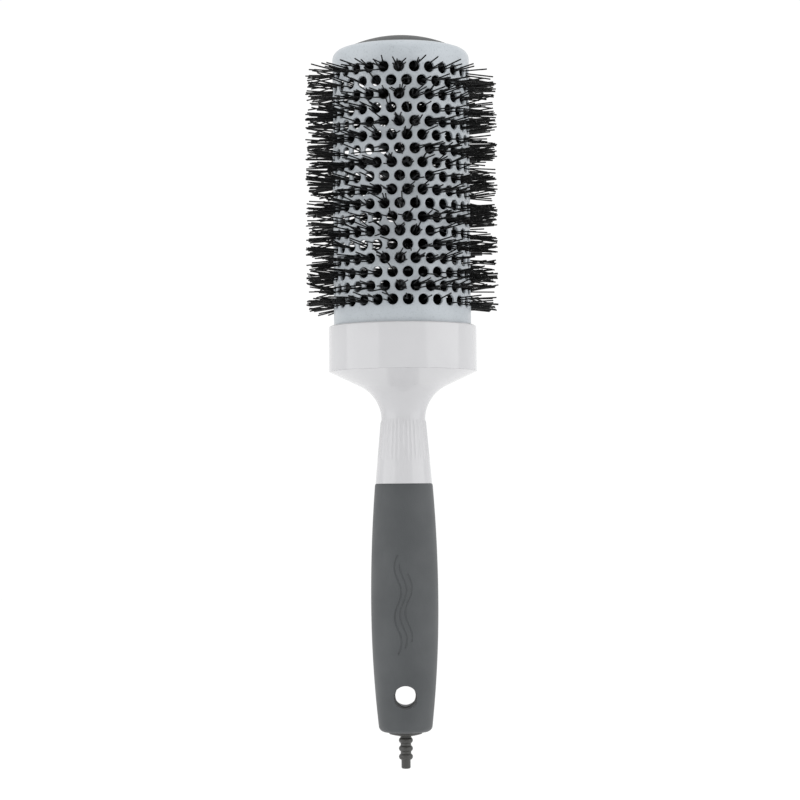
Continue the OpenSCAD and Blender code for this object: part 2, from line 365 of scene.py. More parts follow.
class Bench:
    """The bench's hand operations on the mesh that is being made."""

    @staticmethod
    def clear() -> None:
        """Leaves edit mode and deselects everything."""
        if bpy.context.object and bpy.context.object.mode != "OBJECT":
            bpy.ops.object.mode_set(mode="OBJECT")
        bpy.ops.object.select_all(action="DESELECT")

    @staticmethod
    def hold(piece: bpy.types.Object) -> None:
        """Makes an object the only selected one and the active one.

        Args:
            piece: The object to hold.
        """
        Bench.clear()
        piece.select_set(True)
        bpy.context.view_layer.objects.active = piece

    @staticmethod
    def named(name: str) -> bpy.types.Object:
        """Names the object that an add operator has just made, and its mesh.

        Args:
            name: The new name.

        Returns:
            The object.
        """
        piece = bpy.context.object
        piece.name = name
        piece.data.name = name
        return piece

    @staticmethod
    @contextmanager
    def editing(piece: bpy.types.Object) -> Iterator[None]:
        """Opens an object in edit mode for the block, and closes it after.

        Args:
            piece: The object to edit.

        Yields:
            Nothing, while the mesh is open.
        """
        Bench.hold(piece)
        bpy.ops.object.mode_set(mode="EDIT")
        yield
        bpy.ops.object.mode_set(mode="OBJECT")

    @staticmethod
    def pick(
        piece: bpy.types.Object, wanted: Callable[[bmesh.types.BMEdge], bool]
    ) -> None:
        """Selects the edges of the open mesh that wanted() accepts, and nothing else.

        Args:
            piece: The object in edit mode.
            wanted: Says whether an edge is to be selected.
        """
        bpy.ops.mesh.select_mode(type="EDGE")
        bpy.ops.mesh.select_all(action="DESELECT")
        cage = bmesh.from_edit_mesh(piece.data)
        for edge in cage.edges:
            if wanted(edge):
                edge.select_set(True)
        bmesh.update_edit_mesh(piece.data)

    @staticmethod
    def pull(piece: bpy.types.Object, shape: Shape) -> None:
        """Moves the selected vertices of the open mesh.

        Args:
            piece: The object in edit mode.
            shape: Gives the new place of a point.
        """
        cage = bmesh.from_edit_mesh(piece.data)
        for vertex in cage.verts:
            if vertex.select:
                vertex.co = shape(vertex.co)
        bmesh.update_edit_mesh(piece.data)

    @staticmethod
    def extrude(piece: bpy.types.Object, shape: Shape) -> None:
        """Extrudes the selected edges of the open mesh and pulls the new ones into shape."""
        bpy.ops.mesh.extrude_edges_move()
        Bench.pull(piece, shape)

    @staticmethod
    def close_up(piece: bpy.types.Object, threshold_mm: float = 0.002) -> None:
        """Merges doubles and turns every face outward.

        Args:
            piece: The object to close up.
            threshold_mm: How near two points merge.
        """
        with Bench.editing(piece):
            bpy.ops.mesh.select_all(action="SELECT")
            bpy.ops.mesh.remove_doubles(threshold=threshold_mm * MM)
            bpy.ops.mesh.normals_make_consistent(inside=False)

    @staticmethod
    def apply(piece: bpy.types.Object, kind: str, **settings: object) -> None:
        """Adds a modifier with its settings and applies it.

        Args:
            piece: The object that gets it.
            kind: The modifier's Blender type.
            **settings: Properties of the modifier.
        """
        Bench.hold(piece)
        modifier = piece.modifiers.new(kind.title(), kind)
        for name, setting in settings.items():
            setattr(modifier, name, setting)
        bpy.ops.object.modifier_apply(modifier=modifier.name)

    @staticmethod
    def cut(piece: bpy.types.Object, tool: bpy.types.Object, operation: str = "DIFFERENCE") -> None:
        """Cuts piece with tool, or joins the two, and throws the tool away."""
        Bench.apply(piece, "BOOLEAN", object=tool, operation=operation, solver="EXACT")
        bpy.data.objects.remove(tool)

    @staticmethod
    def smooth(piece: bpy.types.Object, angle_deg: float = 35.0) -> None:
        """Shades piece smooth, with creases where faces turn by more than the angle."""
        Bench.hold(piece)
        bpy.ops.object.shade_smooth_by_angle(angle=math.radians(angle_deg))

    @staticmethod
    def turn(name: str, outline: Sequence[Point], segments: int) -> bpy.types.Object:
        """Draws an outline point by point and spins it round the axis, as on a lathe.

        Args:
            name: The piece's name.
            outline: Radius and height of each point in mm, closed by the last point.
            segments: Steps of the spin.

        Returns:
            The closed piece, with its normals outward.
        """
        Bench.clear()
        bpy.ops.mesh.primitive_plane_add(size=MM)
        piece = Bench.named(name)
        with Bench.editing(piece):
            bpy.ops.mesh.select_mode(type="VERT")
            bpy.ops.mesh.merge(type="CENTER")
            Bench.pull(piece, lambda _: at(*outline[0]))
            for radius, height in outline[1:]:
                bpy.ops.mesh.extrude_vertices_move()
                Bench.pull(piece, lambda _: at(radius, height))
            bpy.ops.mesh.select_all(action="SELECT")
            bpy.ops.mesh.spin(
                steps=segments, angle=math.tau, center=(0, 0, 0), axis=(0, 0, 1))
        Bench.close_up(piece)
        return piece

    @staticmethod
    def rod(name: str, radius: float, length: float, sides: int, turn: Matrix) -> bpy.types.Object:
        """Adds a plain rod through the origin, to be used as a cutting tool.

        Args:
            name: The tool's name.
            radius: The rod's radius in mm.
            length: Its length in mm.
            sides: Its number of sides.
            turn: The turn from upright.

        Returns:
            The rod.
        """
        Bench.clear()
        bpy.ops.mesh.primitive_cylinder_add(
            vertices=sides, radius=radius * MM, depth=length * MM)
        tool = Bench.named(name)
        tool.data.transform(turn)
        return tool


def at(radius: float, height: float, degrees: float = 0.0) -> Vector:
    """The point at a radius and height in mm, turned from the front towards the right."""
    angle = math.radians(degrees)
    return Vector((radius * math.sin(angle), -radius * math.cos(angle), height)) * MM


def bow(centre: Point, radius: float, start: float, end: float, steps: int = 8) -> list[Point]:
    """Points of an arc.

    Args:
        centre: Radius and height of the arc's centre in mm.
        radius: The arc's own radius in mm.
        start: Its first angle in degrees, from straight outward.
        end: Its last angle.
        steps: Segments along it.

    Returns:
        Radius and height of each point.
    """
    angles = [math.radians(start + (end - start) * i / steps) for i in range(steps + 1)]
    return [(centre[0] + radius * math.cos(a), centre[1] + radius * math.sin(a)) for a in angles]


def dress(
    piece: bpy.types.Object, finish: bpy.types.Material, slot: Slot, body: Body, *nodes: str
) -> None:
    """Gives a finished piece its material and its body, and hides the CAD nodes that it stands for.

    Args:
        piece: The finished piece.
        finish: Its material.
        slot: Not used.
        body: The CAD body that carries it.
        *nodes: The CAD nodes that it stands for.
    """
    piece.data.materials.clear()
    piece.data.materials.append(finish)
    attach(piece, body.value)
    if nodes:
        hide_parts(*nodes)
    log.info("%s: %d faces", piece.name, len(piece.data.polygons))


@dataclass
class BarrelShell:
    """The perforated tube: one tile with its hole, laid out flat in rows and rolled up."""

    radius: float = 22.5
    wall: float = 0.8
    base_z: float = 109.0
    top_z: float = 211.6
    shoulder: float = 3.0
    mouth: float = 17.2
    rows: int = 18
    around: int = 28
    hole: float = 1.775
    pitch: float = 4.4
    first_z: float = 202.7
    phase_deg: float = -1.6
    lip: float = 0.3
    edge: float = 0.2
    hole_sides: int = 20
    weld: float = 0.01

    @property
    def tile_width(self) -> float:
        """Distance between two holes of a row, measured round the outside."""
        return math.tau * self.radius / self.around

    def tile(self) -> bpy.types.Object:
        """Makes one flat tile: the skin, the rolled lip, the hole's wall and the inner skin.

        Returns:
            The flat tile, with its hole at the origin.
        """
        across, up = self.tile_width / 2, self.pitch / 2
        corners = [Vector((across, 0, 0)), Vector((across, up, 0)), Vector((-across, up, 0)),
                   Vector((-across, -up, 0)), Vector((across, -up, 0)), Vector((across, 0, 0))]
        border = []
        points_on_each_run = (2, 6, 4, 6, 2)
        for start, end, steps in zip(corners, corners[1:], points_on_each_run):
            border += [start.lerp(end, i / steps) for i in range(steps)]

        def frame_place(co: Vector) -> Vector:
            """Where a point of the round rim lands on the tile's border."""
            place = border[round(math.atan2(co.y, co.x) / math.tau * self.hole_sides) % self.hole_sides]
            return Vector((place.x * MM, place.y * MM, co.z))

        def ring(radius: float, depth: float) -> Shape:
            """Makes the shape that puts points on a circle below the skin.

            Args:
                radius: The circle's radius in mm.
                depth: How far it lies below the skin in mm.

            Returns:
                The shape.
            """
            def shape(co: Vector) -> Vector:
                """Where a point lands on that circle."""
                flat = Vector((co.x, co.y)).normalized() * radius
                return Vector((flat.x, flat.y, -depth)) * MM
            return shape

        lip_rings = [
            (self.hole + self.lip * (1 - math.sin(a)), self.lip * (1 - math.cos(a)))
            for a in (math.radians(30), math.radians(60), math.radians(90))]
        Bench.clear()
        bpy.ops.mesh.primitive_circle_add(
            vertices=self.hole_sides, radius=(self.hole + self.lip) * MM, fill_type="NOTHING")
        tile = Bench.named("barrel_shell")
        with Bench.editing(tile):
            bpy.ops.mesh.select_all(action="SELECT")
            Bench.extrude(tile, frame_place)
            rim = (self.hole + self.lip) * 1.01 * MM
            Bench.pick(tile, lambda e: all(v.co.to_2d().length < rim for v in e.verts))
            for radius, depth in lip_rings + [(self.hole, self.wall)]:
                Bench.extrude(tile, ring(radius, depth))
            Bench.extrude(tile, frame_place)
        return tile

    def rolled(self, co: Vector) -> Vector:
        """Where a point of the flat sheet lies once the sheet is rolled into the tube."""
        turn = math.degrees(co.x / (self.radius * MM)) + self.phase_deg
        return at(self.radius + co.z / MM, self.first_z + co.y / MM, turn)

    def build(self) -> bpy.types.Object:
        """Lays the tiles out, rolls the sheet and draws its two ends out to the tube's rims.

        Returns:
            The whole tube.
        """
        shell = self.tile()
        spare = self.tile()
        Bench.hold(spare)
        spare.data.transform(Matrix.Translation((self.tile_width / 2 * MM, -self.pitch * MM, 0)))
        shell.select_set(True)
        bpy.context.view_layer.objects.active = shell
        bpy.ops.object.join()
        Bench.apply(shell, "ARRAY", count=self.around, use_relative_offset=False,
                    use_constant_offset=True, constant_offset_displace=(self.tile_width * MM, 0, 0))
        Bench.apply(shell, "ARRAY", count=self.rows // 2, use_relative_offset=False,
                    use_constant_offset=True, constant_offset_displace=(0, -2 * self.pitch * MM, 0))
        with Bench.editing(shell):
            bpy.ops.mesh.select_all(action="SELECT")
            Bench.pull(shell, self.rolled)
            bpy.ops.mesh.remove_doubles(threshold=self.weld * MM)
        inner = self.radius - self.wall
        inner_round = self.shoulder - self.wall
        sheet_top = self.first_z + self.pitch / 2
        sheet_base = self.first_z - (self.rows - 0.5) * self.pitch
        crown = (
            [(self.radius, self.top_z - self.shoulder)]
            + bow((self.radius - self.shoulder, self.top_z - self.shoulder), self.shoulder, 0, 90)[1:]
            + [(self.mouth + self.edge, self.top_z), (self.mouth, self.top_z - self.edge),
               (self.mouth, self.top_z - self.wall)]
            + bow((inner - inner_round, self.top_z - self.shoulder), inner_round, 90, 0)
            + [(inner, sheet_top)])
        foot = [(self.radius, self.base_z + self.edge), (self.radius - self.edge, self.base_z),
                (inner, self.base_z), (inner, sheet_base)]
        self.draw_out(shell, sheet_top, crown)
        self.draw_out(shell, sheet_base, foot)
        Bench.close_up(shell, self.weld)
        Bench.smooth(shell)
        return shell

    def make(self, ceramic: bpy.types.Material) -> None:
        """Builds the tube and dresses it."""
        dress(self.build(), ceramic, Slot.CERAMIC, Body.HANDLE, "barrel")

    def draw_out(self, shell: bpy.types.Object, start_z: float, outline: list[Point]) -> None:
        """Extrudes one of the sheet's outer rims along an outline.

        Args:
            shell: The rolled sheet.
            start_z: The height of the sheet's rim in mm.
            outline: Radius and height of each new ring in mm, ending on the inner rim.
        """
        def around_at(radius: float, height: float) -> Shape:
            """The shape that puts points on a ring and keeps their turn."""
            return lambda co: at(radius, height, math.degrees(math.atan2(co.x, -co.y)))

        height_slack, outer = 0.05 * MM, (self.radius - 0.1) * MM
        with Bench.editing(shell):
            Bench.pick(shell, lambda e: e.is_boundary and all(
                abs(v.co.z - start_z * MM) < height_slack
                and v.co.to_2d().length > outer for v in e.verts))
            for radius, height in outline:
                Bench.extrude(shell, around_at(radius, height))


@dataclass
class EndPlug:
    """The domed plug that closes the barrel's top."""

    rim_r: float = 18.8
    seat_z: float = 211.6
    rim_h: float = 0.15
    rise: float = 4.5
    skirt_r: float = 17.15
    skirt_wall: float = 1.5
    skirt_z: float = 206.4
    skirt_edge: tuple[float, float] = (0.3, 0.4)
    plate: float = 1.2
    rim_edge: float = 0.1
    dome_inset: float = 0.4
    dome_steps: int = 28
    segments: int = 96

    def build(self) -> bpy.types.Object:
        """Turns the plug with its low rim, its dome and its skirt.

        Returns:
            The plug.
        """
        ball = (self.rim_r**2 + self.rise**2) / (2 * self.rise)
        centre = (0.0, self.seat_z + self.rim_h + self.rise - ball)
        edge = math.degrees(math.acos((self.rim_r - self.dome_inset) / ball))
        dome = bow(centre, ball, edge, 90, self.dome_steps)
        outline = (
            [(self.skirt_r - self.skirt_wall, self.seat_z - self.plate),
             (self.skirt_r - self.skirt_wall, self.skirt_z),
             (self.skirt_r - self.skirt_edge[0], self.skirt_z),
             (self.skirt_r, self.skirt_z + self.skirt_edge[1]), (self.skirt_r, self.seat_z),
             (self.rim_r - self.rim_edge, self.seat_z), (self.rim_r, self.seat_z + 0.08),
             (self.rim_r, self.seat_z + self.rim_h - 0.02)]
            + dome + [(0.0, self.seat_z - self.plate)])
        plug = Bench.turn("end_plug_dome", outline, self.segments)
        Bench.smooth(plug)
        return plug

    def make(self, polypropylene: bpy.types.Material) -> None:
        """Builds the plug and dresses it."""
        dress(self.build(), polypropylene, Slot.PLUG, Body.HANDLE, "end_plug")


@dataclass
class CollarRing:
    """The gloss ring around the barrel's foot."""

    radius: float = 24.25
    base_z: float = 105.85
    top_z: float = 120.8
    round_r: float = 0.7
    seat_r: float = 22.35
    bore_r: float = 22.55
    seat_z: float = 109.0
    crisp: float = 0.08
    land: float = 4.0
    mouth_edge: float = 0.2
    segments: int = 128

    def build(self) -> bpy.types.Object:
        """Turns the ring with its rounded top edge and its crisp bottom edge.

        Returns:
            The ring.
        """
        outline = (
            [(self.seat_r, self.base_z), (self.radius - self.crisp, self.base_z)]
            + bow((self.radius - self.crisp, self.base_z + self.crisp), self.crisp, -90, 0, 3)[1:]
            + [(self.radius, self.base_z + self.land), (self.radius, self.top_z - self.land)]
            + bow((self.radius - self.round_r, self.top_z - self.round_r), self.round_r, 0, 90, 6)
            + [(self.bore_r + self.mouth_edge, self.top_z), (self.bore_r, self.top_z - self.mouth_edge),
               (self.bore_r, self.seat_z), (self.seat_r, self.seat_z), (self.seat_r, self.base_z)])
        ring = Bench.turn("collar_ring_gloss", outline, self.segments)
        Bench.smooth(ring)
        return ring

    def make(self, gloss: bpy.types.Material) -> None:
        """Builds the ring and dresses it."""
        dress(self.build(), gloss, Slot.GLOSS, Body.HANDLE, "collar_ring")


@dataclass
class NeckFlare:
    """The gloss flare and its fluted neck, with the sockets for the stem and the core."""

    neck_r: float = 7.2
    neck_z: float = 90.0
    bend_r: float = 12.3
    bend_deg: float = 65.0
    rim_r: float = 24.2
    rim_z: float = 105.85
    seat_r: float = 22.3
    seat_z: float = 109.0
    crease_r: float = 7.5
    crease_z: float = 89.0
    foot_r: float = 9.25
    foot_z: float = 69.1
    socket_r: float = 5.25
    socket_z: float = 84.3
    stem_r: float = 2.3
    stem_z: float = 91.95
    flutes: int = 38
    flute_depth: float = 0.16
    flute_top_z: float = 90.6
    flute_base_z: float = 75.8
    flute_base_run: float = 2.0
    flute_top_run: float = 1.2
    flute_squareness: float = 0.6
    steps_per_flute: int = 6
    rim_edge: float = 0.05
    foot_land: float = 0.5
    taper_steps: int = 24
    bend_steps: int = 20

    def outline(self) -> list[Point]:
        """Draws the outline from the stem's bore down the outside to the foot and the socket.

        Returns:
            Radius and height of each point in mm.
        """
        taper = [
            (self.crease_r + (self.foot_r - self.crease_r) * i / self.taper_steps,
             self.crease_z + (self.foot_z + self.foot_land - self.crease_z) * i / self.taper_steps)
            for i in range(1, self.taper_steps + 1)]
        return (
            [(self.stem_r, self.seat_z), (self.seat_r, self.seat_z), (self.seat_r, self.rim_z),
             (self.rim_r - self.rim_edge, self.rim_z), (self.rim_r, self.rim_z - self.rim_edge)]
            + bow((self.neck_r + self.bend_r, self.neck_z), self.bend_r,
                  180 - self.bend_deg, 180, self.bend_steps)
            + [(self.crease_r, self.crease_z)]
            + taper
            + [(self.foot_r, self.foot_z), (self.socket_r, self.foot_z),
               (self.socket_r, self.socket_z), (0.0, self.socket_z), (0.0, self.stem_z),
               (self.stem_r, self.stem_z), (self.stem_r, self.seat_z)])

    def build(self) -> bpy.types.Object:
        """Turns the neck and presses the flutes into it.

        Returns:
            The flare with its neck.
        """
        neck = Bench.turn("neck_flare_gloss", self.outline(), self.flutes * self.steps_per_flute)

        skin_r = self.neck_r - 0.2

        def fluted(co: Vector) -> Vector:
            """Presses the flutes into one point of the plain neck.

            Args:
                co: The point's place.

            Returns:
                Its new place.
            """
            height, radius = co.z / MM, co.to_2d().length / MM
            into = min((height - self.flute_base_z) / self.flute_base_run,
                       (self.flute_top_z - height) / self.flute_top_run, 1.0)
            if into <= 0 or radius < skin_r:
                return co
            wave = 0.5 - 0.5 * math.cos(self.flutes * math.atan2(co.x, -co.y))
            groove = self.flute_depth * into * wave ** self.flute_squareness
            return Vector((co.x, co.y, 0)) * ((radius - groove) / radius) + Vector((0, 0, co.z))

        with Bench.editing(neck):
            bpy.ops.mesh.select_all(action="SELECT")
            Bench.pull(neck, fluted)
        Bench.smooth(neck)
        return neck

    def make(self, gloss: bpy.types.Material) -> None:
        """Builds the flare and dresses it."""
        dress(self.build(), gloss, Slot.GLOSS, Body.HANDLE, "neck_flare")


@dataclass
class SoftGrip:
    """The overmoulded grip with its hang hole and a plain pressed motif of flowing strands."""

    belly_r: float = 11.0
    belly_z: float = 30.5
    top_z: float = 69.1
    top_r: float = 9.42
    base_z: float = -11.7
    base_r: float = 8.8
    base_round: float = 2.0
    top_round: float = 0.5
    core_r: float = 6.82
    core_z: float = -10.5
    hole_r: float = 3.85
    hole_waist: float = 0.86
    rim_round: float = 0.7
    pocket: tuple[float, float, float] = (10.2, 2.6, 8.4)
    side_steps: int = 48
    segments: int = 112
    hole_sides: int = 64
    lining: tuple[float, float] = (0.8, 15)
    strands: int = 3
    strand_r: float = 0.42
    strand_steps: int = 40
    strand_span: tuple[float, float] = (14.0, 46.0)
    strand_wave: tuple[float, float] = (1.1, 16)
    strand_first_x: float = -2.2
    strand_gap: float = 1.7
    strand_lift: float = 0.18

    def radius_at(self, height: float) -> float:
        """Finds the grip's radius, from two shallow curves that meet at its belly.

        Args:
            height: The height in mm.

        Returns:
            The radius in mm.
        """
        if height > self.belly_z:
            share = (height - self.belly_z) / (self.top_z - self.belly_z)
            return self.belly_r - (self.belly_r - self.top_r) * share**2
        share = (self.belly_z - height) / (self.belly_z - self.base_z - self.base_round)
        return self.belly_r - (self.belly_r - self.base_r) * share**2

    def build(self) -> bpy.types.Object:
        """Turns the sleeve, drills the hang hole, softens its rim and presses the motif in.

        Returns:
            The sleeve.
        """
        side = self.base_z + self.base_round
        heights = [side + (self.top_z - self.top_round - side) * i / self.side_steps
                   for i in range(1, self.side_steps + 1)]
        outline = (
            [(0.0, self.base_z)]
            + bow((self.base_r - self.base_round, side), self.base_round, -90, 0, 6)
            + [(self.radius_at(z), z) for z in heights]
            + bow((self.top_r - self.top_round, self.top_z - self.top_round), self.top_round,
                  15, 90, 4)
            + [(self.core_r, self.top_z), (self.core_r, self.core_z), (0.0, self.core_z)])
        grip = Bench.turn("soft_grip_sleeve", outline, self.segments)
        along_y = Matrix.Rotation(math.pi / 2, 4, "X")
        wall, length = self.lining
        lining = Bench.rod("lining_tool", self.hole_r + wall, length, self.hole_sides, along_y)
        Bench.cut(grip, lining, "UNION")
        Bench.cut(grip, self.hole_tool())
        with Bench.editing(grip):
            Bench.pick(grip, self.on_hole_rim)
            bpy.ops.mesh.bevel(
                offset=self.rim_round * MM, segments=4, affect="EDGES", clamp_overlap=True)
        Bench.clear()
        width, depth, top = self.pocket
        below = 2
        bpy.ops.mesh.primitive_cube_add(size=1)
        slot = Bench.named("pocket_tool")
        slot.data.transform(
            Matrix.Translation((0, 0, (top + self.base_z - below) / 2 * MM))
            @ Matrix.Diagonal((width * MM, depth * MM, (top - self.base_z + below) * MM, 1)))
        Bench.cut(grip, slot)
        for strand in range(self.strands):
            Bench.cut(grip, self.strand_tool(strand))
        Bench.smooth(grip)
        return grip

    def make(self, rubber: bpy.types.Material) -> None:
        """Builds the sleeve and dresses it."""
        dress(self.build(), rubber, Slot.GRIP, Body.HANDLE, "grip")

    def hole_tool(self) -> bpy.types.Object:
        """Makes a round rod along Y, narrowed to an oval where the pick's blade crosses it.

        Returns:
            The rod.
        """
        end, straight, waist = 20.0, 8.5, 2.0
        outline = [(0.0, -end), (self.hole_r, -end), (self.hole_r, -straight), (self.hole_r, -waist),
                   (self.hole_r, waist), (self.hole_r, straight), (self.hole_r, end), (0.0, end)]
        tool = Bench.turn("hole_tool", outline, self.hole_sides)
        for vertex in tool.data.vertices:
            if abs(vertex.co.z) < (waist + 1) * MM:
                vertex.co.x *= self.hole_waist
        tool.data.transform(Matrix.Rotation(math.pi / 2, 4, "X"))
        return tool

    def on_hole_rim(self, edge: bmesh.types.BMEdge) -> bool:
        """Tells the edges where the hang hole breaks through the sleeve's outside.

        Args:
            edge: An edge of the sleeve's open mesh.

        Returns:
            Whether the edge is one to soften.
        """
        slack, outside_y = 0.02, self.core_r + 1
        for vertex in edge.verts:
            across = math.hypot(vertex.co.x, vertex.co.z) / MM
            if abs(across - self.hole_r) > slack or abs(vertex.co.y) / MM < outside_y:
                return False
        faces = edge.link_faces
        return len(faces) == 2 and edge.calc_face_angle(0) > math.radians(40)

    def strand_tool(self, number: int) -> bpy.types.Object:
        """Makes a thin rod that waves along the front of the grip, partly sunk in its surface.

        Args:
            number: The strand's number, from the left.

        Returns:
            The rod.
        """
        low, high = self.strand_span[0] + number * 2, self.strand_span[1] - number * 3
        sway, wave_length = self.strand_wave
        path = bpy.data.curves.new("strand_tool", "CURVE")
        path.dimensions = "3D"
        path.bevel_depth = self.strand_r * MM
        path.bevel_resolution = 2
        path.use_fill_caps = True
        line = path.splines.new("POLY")
        line.points.add(self.strand_steps)
        for i in range(self.strand_steps + 1):
            height = low + (high - low) * i / self.strand_steps
            wave = math.sin((height - low) / wave_length * math.tau + number * 0.5)
            aside = self.strand_first_x + number * self.strand_gap + sway * wave
            radius = self.radius_at(height) + self.strand_lift
            line.points[i].co = (
                aside * MM, -math.sqrt(radius**2 - aside**2) * MM, height * MM, 1)
        tool = bpy.data.objects.new("strand_tool", path)
        bpy.context.scene.collection.objects.link(tool)
        Bench.hold(tool)
        bpy.ops.object.convert(target="MESH")
        return bpy.context.object


@dataclass
class WireStem:
    """Two wires twisted together on the brush's axis."""

    wire_r: float = 0.7
    orbit: float = 0.8
    lead: float = -18.0
    base_z: float = 92.0
    top_z: float = 210.5
    sides: int = 10
    steps_per_turn: int = 18

    def build(self) -> list[bpy.types.Object]:
        """Winds each wire from one round section with a screw of the stem's lead.

        Returns:
            The two wires.
        """
        wires = []
        for name, start in (("stem_wire_left", 0.0), ("stem_wire_right", math.pi)):
            Bench.clear()
            bpy.ops.mesh.primitive_circle_add(
                vertices=self.sides, radius=self.wire_r * MM, fill_type="NGON")
            wire = Bench.named(name)
            wire.data.transform(
                Matrix.Rotation(start, 4, "Z")
                @ Matrix.Translation((self.orbit * MM, 0, self.base_z * MM))
                @ Matrix.Rotation(math.pi / 2, 4, "X"))
            turns = (self.top_z - self.base_z) / self.lead
            steps = int(abs(turns) * self.steps_per_turn)
            Bench.apply(
                wire, "SCREW", angle=math.tau * turns, steps=steps,
                render_steps=steps, screw_offset=(self.top_z - self.base_z) * MM,
                use_merge_vertices=True)
            with Bench.editing(wire):
                Bench.pick(wire, lambda e: e.is_boundary)
                bpy.ops.mesh.fill()
            Bench.close_up(wire)
            Bench.smooth(wire)
            wires.append(wire)
        return wires

    def make(self, steel: bpy.types.Material) -> None:
        """Builds the two wires and dresses them."""
        for wire, node in zip(self.build(), ("stem_wire_a", "stem_wire_b")):
            dress(wire, steel, Slot.STEEL, Body.HANDLE, node)


@dataclass
class BristleField:
    """The filaments: held between the wires, spread in a helix, out through the holes."""

    barrel: BarrelShell
    filament_r: float = 0.24
    tip_r: float = 31.6
    tip_scatter: float = 0.8
    root_r: float = 1.5
    root_scatter: float = 0.8
    root_turn_deg: float = 25.0
    per_hole: float = 5.2
    sparse_share: float = 0.12
    dense_share: float = 1.2
    dense_reach: float = 2.4
    hole_scatter: Point = (1.0, 1.2)
    splay: float = 0.8
    splay_scatter: float = 0.08
    tip_turn_deg: float = 2.2
    seed: int = 20
    blade_pitch: float = 7.6
    blade_turn_deg: float = 90.0
    sides: int = 5

    def strand(self) -> tuple[np.ndarray, list[tuple[int, ...]]]:
        """Models one filament with three rings and takes its mesh apart for copying.

        Returns:
            Its points, with x and y in filament radii and z from 0 to 1, and its faces.
        """
        Bench.clear()
        bpy.ops.mesh.primitive_cylinder_add(
            vertices=self.sides, radius=1, depth=1, location=(0, 0, 0.5))
        strand = Bench.named("one_filament")
        with Bench.editing(strand):
            bpy.ops.mesh.select_all(action="SELECT")
            bpy.ops.mesh.bisect(plane_co=(0, 0, 0.6), plane_no=(0, 0, 1))
        strand.data.transform(strand.matrix_world)
        points = np.array([v.co[:] for v in strand.data.vertices])
        faces = [tuple(p.vertices) for p in strand.data.polygons]
        bpy.data.objects.remove(strand)
        return points, faces

    def build(self) -> list[bpy.types.Object]:
        """Makes one piece for each row of holes.

        Returns:
            The rows, from the top.
        """
        points, faces = self.strand()
        chance = random.Random(self.seed)
        rows = []
        for row in range(self.barrel.rows):
            placed = []
            for hole in range(self.barrel.around):
                placed += self.bunch(chance, row, hole)
            rows.append(self.copy_strands(f"bristles_row_{row + 1:02d}", points, faces, placed))
        return rows

    def make(self, nylon: bpy.types.Material) -> None:
        """Builds the rows of filaments and dresses them."""
        for number, row in enumerate(self.build(), 1):
            dress(row, nylon, Slot.NYLON, Body.HANDLE, f"bristle_row_{number:02d}")

    def bunch(
        self, chance: random.Random, row: int, hole: int
    ) -> list[tuple[Vector, Vector, Vector]]:
        """Chooses the filaments that come out of one hole.

        Args:
            chance: The seeded source of every random draw.
            row: The hole's row, from the top.
            hole: The hole's number round the barrel.

        Returns:
            Root, bend and tip of each filament, in mm.
        """
        tube = self.barrel
        step = 360 / tube.around
        angle = tube.phase_deg + hole * step + (row % 2) * step / 2
        height = tube.first_z - row * tube.pitch
        placed = []
        level = self.root_height(angle, height)
        nearness = math.exp(-(((height - level) / self.dense_reach) ** 2))
        share = self.sparse_share + self.dense_share * nearness
        wide, high = self.hole_scatter
        for _ in range(int(self.per_hole * share + chance.random())):
            aside, above = chance.uniform(-wide, wide), chance.uniform(-high, high)
            bend_angle = angle + math.degrees(aside / tube.radius)
            bend_z = height + above
            root_z = level + chance.gauss(0, self.root_scatter)
            slope = (bend_z - root_z) / tube.radius
            reach = self.tip_r - chance.random() ** 2 * self.tip_scatter * 2
            rise = slope * self.splay + chance.gauss(0, self.splay_scatter)
            tip_z = bend_z + (reach - tube.radius) * rise
            tip_angle = bend_angle + chance.gauss(0, self.tip_turn_deg)
            root_angle = angle + chance.uniform(-self.root_turn_deg, self.root_turn_deg)
            placed.append((
                at(self.root_r, root_z, root_angle) / MM,
                at(tube.radius, bend_z, bend_angle) / MM,
                at(reach, tip_z, tip_angle) / MM))
        return placed

    def root_height(self, angle: float, height: float) -> float:
        """Finds the nearest height on the stem where the twist faces a hole's way.

        Args:
            angle: The hole's turn from the front in degrees.
            height: The hole's height in mm.

        Returns:
            The height in mm.
        """
        pitch = self.blade_pitch
        facing = (self.blade_turn_deg - angle) / 180 * pitch
        return facing + round((height - facing) / pitch) * pitch

    def copy_strands(
        self, name: str, points: np.ndarray, faces: list[tuple[int, ...]],
        placed: list[tuple[Vector, Vector, Vector]]
    ) -> bpy.types.Object:
        """Copies the one filament to every place and bends each copy at the barrel.

        Args:
            name: The row's name.
            points: The filament's points, as strand() gives them.
            faces: The filament's faces.
            placed: Root, bend and tip of each copy in mm.

        Returns:
            The row of filaments.
        """
        near_root, near_tip = 0.1, 0.9
        every_point, every_face = [], []
        for root, bend, tip in placed:
            run = (tip - root).normalized()
            side = run.cross(Vector((0, 0, 1))).normalized()
            rise = side.cross(run)
            first = len(every_point)
            for x, y, z in points:
                centre = root if z < near_root else tip if z > near_tip else bend
                every_point.append((centre + (side * x + rise * y) * self.filament_r) * MM)
            every_face += [tuple(first + i for i in face) for face in faces]
        mesh = bpy.data.meshes.new(name)
        mesh.from_pydata(every_point, [], every_face)
        row = bpy.data.objects.new(name, mesh)
        bpy.context.scene.collection.objects.link(row)
        Bench.smooth(row, 60)
        return row


